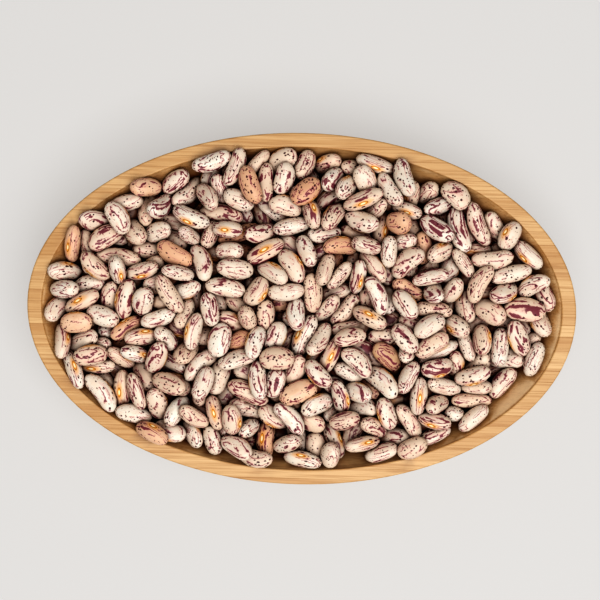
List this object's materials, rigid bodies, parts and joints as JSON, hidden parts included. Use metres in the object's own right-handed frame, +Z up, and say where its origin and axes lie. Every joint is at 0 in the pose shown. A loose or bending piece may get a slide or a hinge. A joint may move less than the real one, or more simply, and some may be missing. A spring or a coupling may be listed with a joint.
{
  "type": "bowl of dried beans",
  "caption": "Shallow oval bamboo bowl, filled to the brim and heaped with dried speckled kidney-shaped beans.",
  "frame": {"origin": "centre of the flat foot that the bowl stands on", "axes": "+X along the bowl's long axis, +Y across it towards the side where the heap is banked up, +Z up"},
  "size_m": [0.25, 0.16, 0.0539],
  "materials": {
    "bamboo": "smooth oiled laminated bamboo, satin",
    "bean_skin": "dry bean skin, satin, cream with maroon speckles"
  },
  "bodies": {
    "root": {"bowl": "bamboo", "beans": "bean_skin"}
  },
  "joints": []
}
